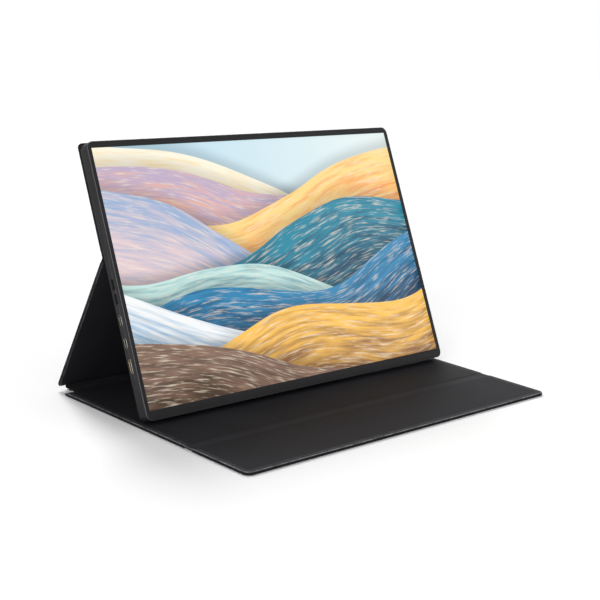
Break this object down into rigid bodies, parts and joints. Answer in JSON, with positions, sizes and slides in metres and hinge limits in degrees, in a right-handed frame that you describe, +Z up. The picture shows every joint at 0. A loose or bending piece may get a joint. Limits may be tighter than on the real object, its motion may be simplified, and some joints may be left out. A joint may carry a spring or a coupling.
{
  "type": "portable monitor with folding cover",
  "caption": "Slim flat monitor held by magnets on a folding leather cover, whose leg props the screen up from behind and whose base lies flat under it.",
  "frame": {"origin": "on the floor, at the middle of the footprint", "axes": "+X along the screen to its right as a user sees it, +Y behind the screen, +Z up"},
  "size_m": [0.356, 0.2482, 0.2162],
  "materials": {
    "bezel_plastic": "fine matt, moulded",
    "housing_plastic": "fine matt, moulded",
    "button_plastic": "fine matt, moulded",
    "black_plastic": "matt",
    "foam_tape": "matt foam tape",
    "display_glass": "anti-glare front, lit from behind",
    "clear_acrylic": "clear, polished",
    "white_film": "matt white film",
    "circuit_board": "solder mask",
    "flex_film": "polyimide film",
    "diode_lens": "clear resin",
    "panel_metal": "pressed sheet",
    "screw_steel": "zinc plated",
    "magnet_nickel": "nickel plated",
    "connector_plastic": "moulded",
    "socket_steel": "drawn stainless steel",
    "socket_gold": "plated shell",
    "lead_insulation": "soft insulation",
    "cover_leather": "fine grain polyurethane leather",
    "cover_lining": "smooth matt polyurethane leather",
    "fold_leather": "fine grain polyurethane leather",
    "cover_board": "grey board"
  },
  "bodies": {
    "base": {"foot_fold": "fold_leather", "spine_skin": "cover_leather", "spine_board": "cover_board", "spine_lining": "cover_lining", "spine_fold": "fold_leather", "base_skin": "cover_leather", "base_board": "cover_board", "base_lining": "cover_lining", "front_fold": "fold_leather"},
    "front_flap": {"flap_skin": "cover_leather", "flap_board": "cover_board", "flap_lining": "cover_lining"},
    "leg": {"leg_skin": "cover_leather", "leg_board": "cover_board", "leg_lining": "cover_lining"},
    "back_panel": {"back_panel_skin": "cover_leather", "back_panel_board": "cover_board", "back_panel_lining": "cover_lining", "back_panel_magnets": "magnet_nickel", "mid_fold": "fold_leather"},
    "monitor": {"front_bezel": "bezel_plastic", "bezel_tape": "foam_tape", "lcd_cell": "display_glass", "diffuser_films": "white_film", "light_guide": "clear_acrylic", "reflector_sheet": "white_film", "led_strip": "flex_film", "leds": "diode_lens", "panel_tray": "panel_metal", "panel_board": "circuit_board", "driver_films": "flex_film", "panel_cable": "flex_film", "rear_housing": "housing_plastic", "main_board": "circuit_board", "board_screws": "screw_steel", "scaler_chip": "black_plastic", "board_coils": "magnet_nickel", "shield_can": "panel_metal", "cable_connectors": "connector_plastic", "usb_c_shell_upper": "socket_steel", "usb_c_shell_lower": "socket_steel", "usb_c_tongue_upper": "connector_plastic", "usb_c_tongue_lower": "connector_plastic", "mini_hdmi_shell": "socket_gold", "mini_hdmi_tongue": "connector_plastic", "power_switch": "black_plastic", "menu_switches": "black_plastic", "speaker_left": "black_plastic", "speaker_right": "black_plastic", "speaker_leads": "lead_insulation", "housing_magnets": "magnet_nickel"},
    "power_button": {"power_button": "button_plastic"},
    "menu_rocker": {"menu_rocker": "button_plastic"}
  },
  "joints": [
    {"name": "leg_fold", "type": "hinge", "parent": "base", "child": "leg", "pos_m": [0, 0.1234, 0.0014], "axis": [1, 0, 0], "range_deg": [-12, 12]},
    {"name": "back_fold", "type": "hinge", "parent": "leg", "child": "back_panel", "pos_m": [0, 0.06326, 0.12582], "axis": [1, 0, 0], "range_deg": [-25.15, 25.15]},
    {"name": "monitor_lift", "type": "slide", "parent": "back_panel", "child": "monitor", "axis": [0, 0.4067, 0.9135], "range_m": [0, 0.24]},
    {"name": "flap_fold", "type": "hinge", "parent": "base", "child": "front_flap", "pos_m": [0, -0.0561, 0.0014], "axis": [-1, 0, 0], "range_deg": [0, 110]},
    {"name": "power_press", "type": "slide", "parent": "monitor", "child": "power_button", "axis": [1, 0, 0], "range_m": [0, 0.0003], "stiffness_N_per_m": 1500},
    {"name": "menu_rock", "type": "hinge", "parent": "monitor", "child": "menu_rocker", "pos_m": [-0.173, 0.04374, 0.09599], "axis": [0, 0.9135, -0.4067], "range_deg": [-2.5, 2.5], "stiffness_Nm_per_rad": 0.2}
  ],
  "couplings": [
    {"joint": "back_fold", "follows": "leg_fold", "ratio": -2.054}
  ]
}
